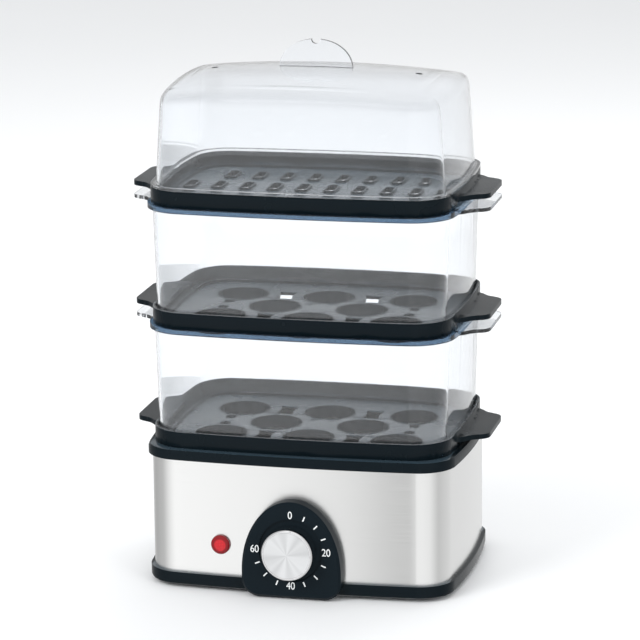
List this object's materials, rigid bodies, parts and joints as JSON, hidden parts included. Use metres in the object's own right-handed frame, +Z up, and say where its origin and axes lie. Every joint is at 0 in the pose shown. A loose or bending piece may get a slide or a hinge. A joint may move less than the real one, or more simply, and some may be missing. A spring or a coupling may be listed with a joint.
{
  "type": "three-tier electric egg boiler",
  "caption": "Brushed steel base with a round timer knob, clear stacked containers over black egg trays, and a domed clear lid over a slotted steam tray.",
  "frame": {"origin": "on the table, midway between the knob's face and the cord bush, and midway between the handles", "axes": "+X to the right of someone facing the dial, +Y to the back, +Z up"},
  "size_m": [0.252, 0.1854, 0.375],
  "materials": {
    "black_plastic": "satin black, very slightly blue-green",
    "foot_rubber": "matt black",
    "brushed_sleeve": "brushed along the sleeve",
    "bowl_steel": "satin",
    "plated_steel": "zinc plated",
    "element_sheath": "dull grey sheath",
    "ivory_plastic": "matt",
    "red_lens": "glossy, deep red",
    "knob_chrome": "polished",
    "spun_disc": "turned, with bright sectors",
    "clear_plastic": "clear, glossy"
  },
  "bodies": {
    "base": {"base_pan": "black_plastic", "rubber_feet": "foot_rubber", "base_screws": "plated_steel", "steel_sleeve": "brushed_sleeve", "top_collar": "black_plastic", "heating_bowl": "bowl_steel", "bowl_seal": "foot_rubber", "bowl_screws": "plated_steel", "heating_element": "element_sheath", "element_straps": "plated_steel", "stud_nuts": "plated_steel", "thermostat": "ivory_plastic", "thermal_fuse": "plated_steel", "fuse_clip": "plated_steel", "terminal_block": "ivory_plastic", "terminal_screw": "plated_steel", "cord_gland": "foot_rubber", "dial_bezel": "black_plastic", "timer_case": "ivory_plastic", "timer_bell": "plated_steel", "timer_screws": "plated_steel", "lamp_lens": "red_lens", "lamp_nut": "plated_steel", "lamp_body": "ivory_plastic"},
    "knob": {"timer_knob": "knob_chrome", "knob_cap": "spun_disc", "timer_shaft": "plated_steel"},
    "egg_tray_lower": {"egg_tray_lower": "black_plastic"},
    "container_lower": {"container_lower": "clear_plastic"},
    "egg_tray_upper": {"egg_tray_upper": "black_plastic"},
    "container_upper": {"container_upper": "clear_plastic"},
    "steam_tray": {"steam_tray": "black_plastic"},
    "lid": {"lid": "clear_plastic"}
  },
  "joints": [
    {"name": "knob_turn", "type": "hinge", "parent": "base", "child": "knob", "pos_m": [0, -0.08125, 0.0353], "axis": [0, 1, 0], "range_deg": [0, 270]},
    {"name": "egg_tray_lower_lift", "type": "slide", "parent": "base", "child": "egg_tray_lower", "axis": [0, 0, 1], "range_m": [0, 0.12]},
    {"name": "container_lower_lift", "type": "slide", "parent": "egg_tray_lower", "child": "container_lower", "axis": [0, 0, 1], "range_m": [0, 0.12]},
    {"name": "egg_tray_upper_lift", "type": "slide", "parent": "container_lower", "child": "egg_tray_upper", "axis": [0, 0, 1], "range_m": [0, 0.12]},
    {"name": "container_upper_lift", "type": "slide", "parent": "egg_tray_upper", "child": "container_upper", "axis": [0, 0, 1], "range_m": [0, 0.12]},
    {"name": "steam_tray_lift", "type": "slide", "parent": "container_upper", "child": "steam_tray", "axis": [0, 0, 1], "range_m": [0, 0.12]},
    {"name": "lid_lift", "type": "slide", "parent": "steam_tray", "child": "lid", "axis": [0, 0, 1], "range_m": [0, 0.12]}
  ]
}
